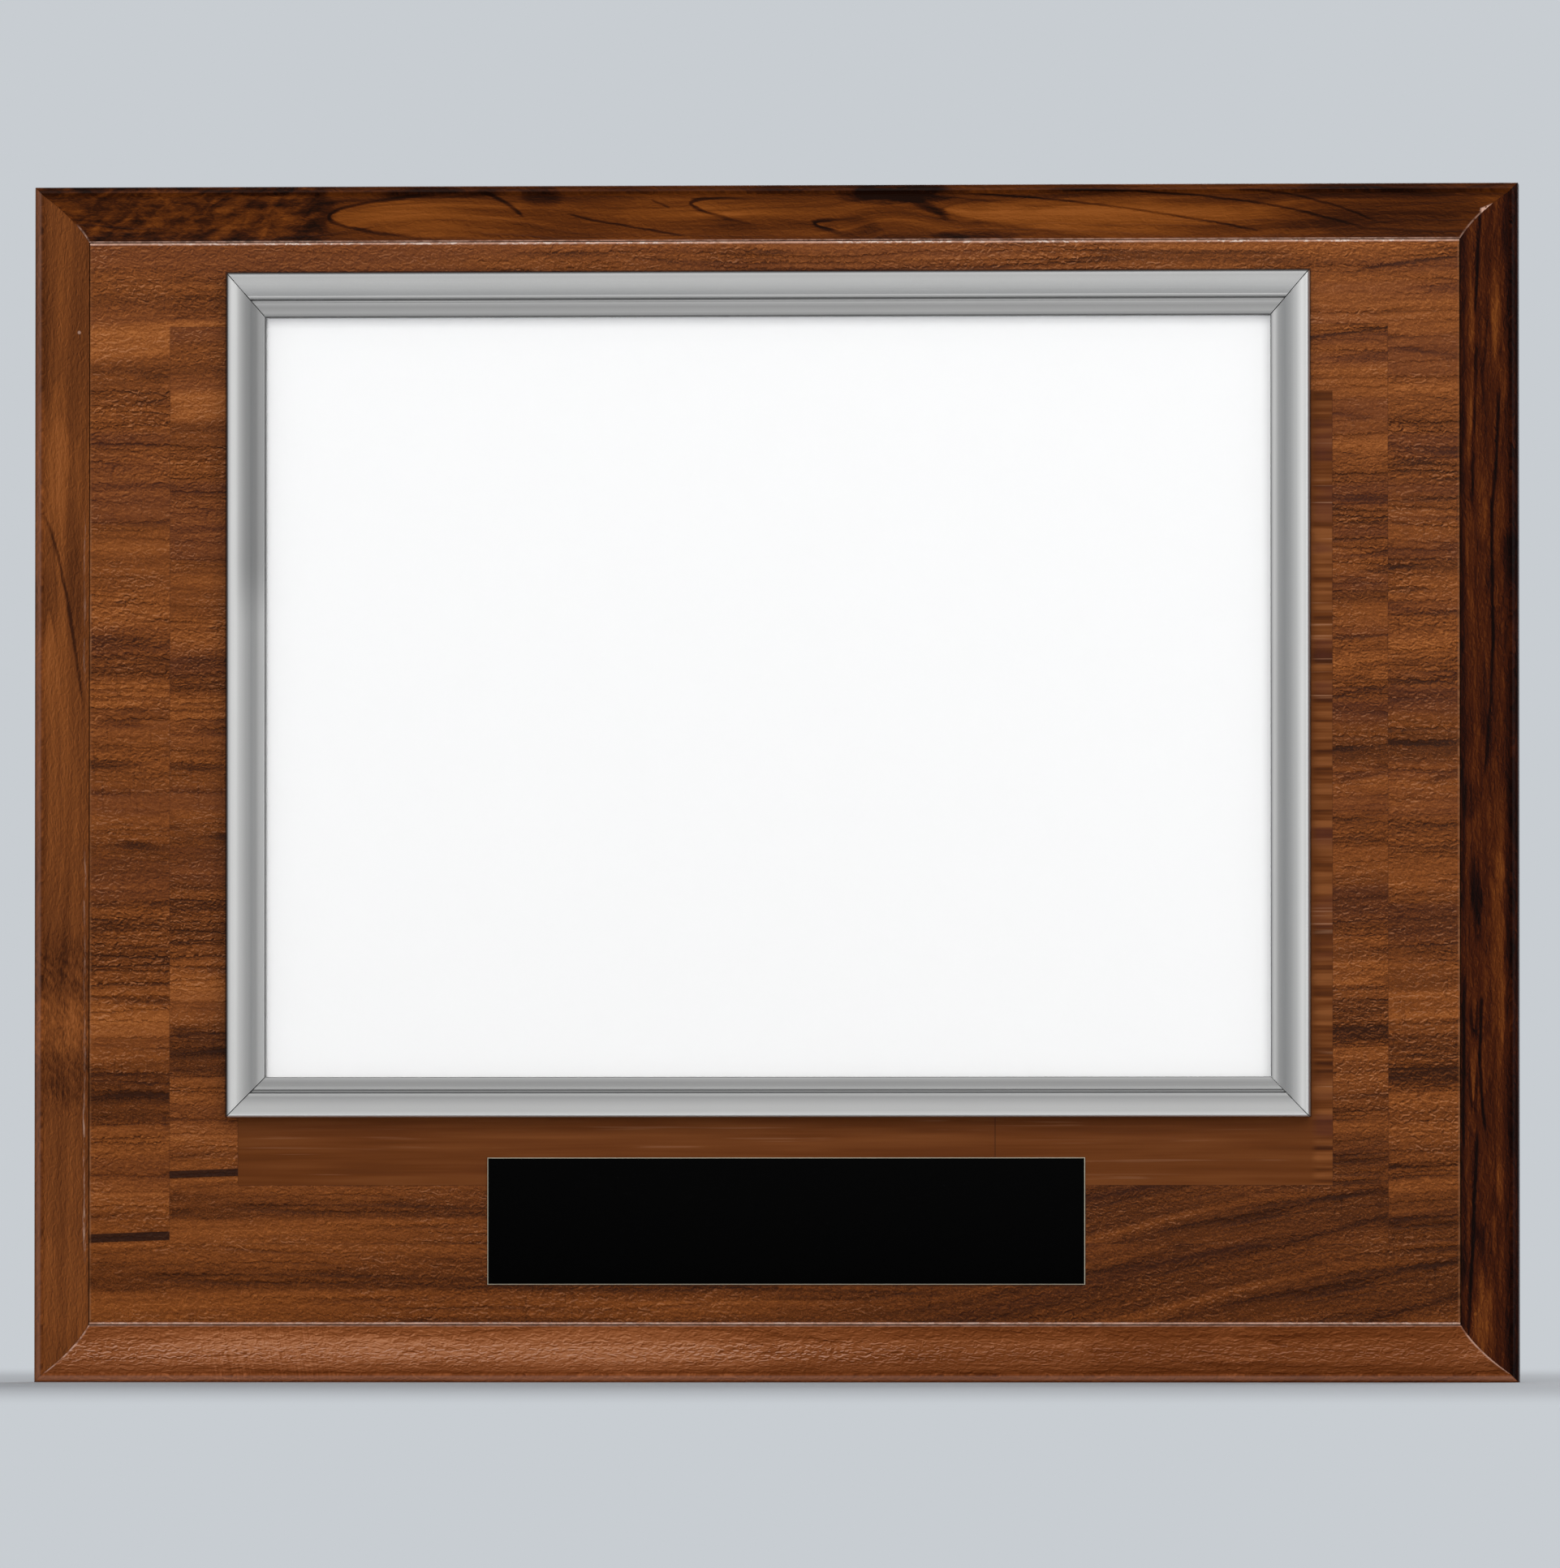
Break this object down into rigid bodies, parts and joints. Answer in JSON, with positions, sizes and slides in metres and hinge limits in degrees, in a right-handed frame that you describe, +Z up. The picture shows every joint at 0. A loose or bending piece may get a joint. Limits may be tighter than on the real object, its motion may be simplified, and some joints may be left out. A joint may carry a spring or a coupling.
{
  "type": "certificate plaque",
  "caption": "Wall plaque: wood-grain board with moulded edges, a silver frame that a certificate slides into from above, and a black engraving plate below it.",
  "frame": {"origin": "middle of the back face of the board, on the wall plane", "axes": "+X along the plaque's width, to the viewer's right; +Y out of the back, into the wall; +Z up"},
  "size_m": [0.381, 0.0268, 0.307],
  "materials": {
    "wood_grain_face": "printed walnut grain, satin, fine pores",
    "wood_grain_edge": "printed walnut grain along the edge, satin gloss",
    "fibreboard_core": "raw fibreboard",
    "back_laminate": "plain dark brown balancing laminate",
    "silver_rail": "satin silver, drawn along its length",
    "key_alloy": "plain die-cut alloy",
    "zinc_steel": "bright zinc",
    "grey_card": "grey board",
    "white_paper": "smooth white stock, bare",
    "clear_acrylic": "clear, polished edges",
    "black_plate": "black coat, bright bevelled edge",
    "tape": "foam tape"
  },
  "bodies": {
    "plaque": {"core_panel": "fibreboard_core", "face_sheet": "wood_grain_face", "back_sheet": "back_laminate", "edge_bottom": "wood_grain_edge", "edge_right": "wood_grain_edge", "edge_top": "wood_grain_edge", "edge_left": "wood_grain_edge", "hanger_plate": "zinc_steel", "hanger_screw_upper": "zinc_steel", "hanger_screw_lower": "zinc_steel", "rail_bottom": "silver_rail", "rail_right": "silver_rail", "rail_top": "silver_rail", "rail_left": "silver_rail", "corner_key_bottom_left": "key_alloy", "corner_key_bottom_right": "key_alloy", "corner_key_top_right": "key_alloy", "corner_key_top_left": "key_alloy", "frame_screw_left_upper": "zinc_steel", "frame_screw_left_lower": "zinc_steel", "frame_screw_right_lower": "zinc_steel", "frame_screw_right_upper": "zinc_steel", "frame_screw_bottom_left": "zinc_steel", "frame_screw_bottom_middle": "zinc_steel", "frame_screw_bottom_right": "zinc_steel", "plate_tape": "tape", "engraving_plate": "black_plate"},
    "certificate_pack": {"certificate": "white_paper", "backing_card": "grey_card"},
    "cover": {"clear_cover": "clear_acrylic"}
  },
  "joints": [
    {"name": "certificate_slide", "type": "slide", "parent": "plaque", "child": "certificate_pack", "axis": [0, 0, 1], "range_m": [0, 0.212]},
    {"name": "cover_slide", "type": "slide", "parent": "plaque", "child": "cover", "axis": [0, 0, 1], "range_m": [0, 0.212]}
  ]
}
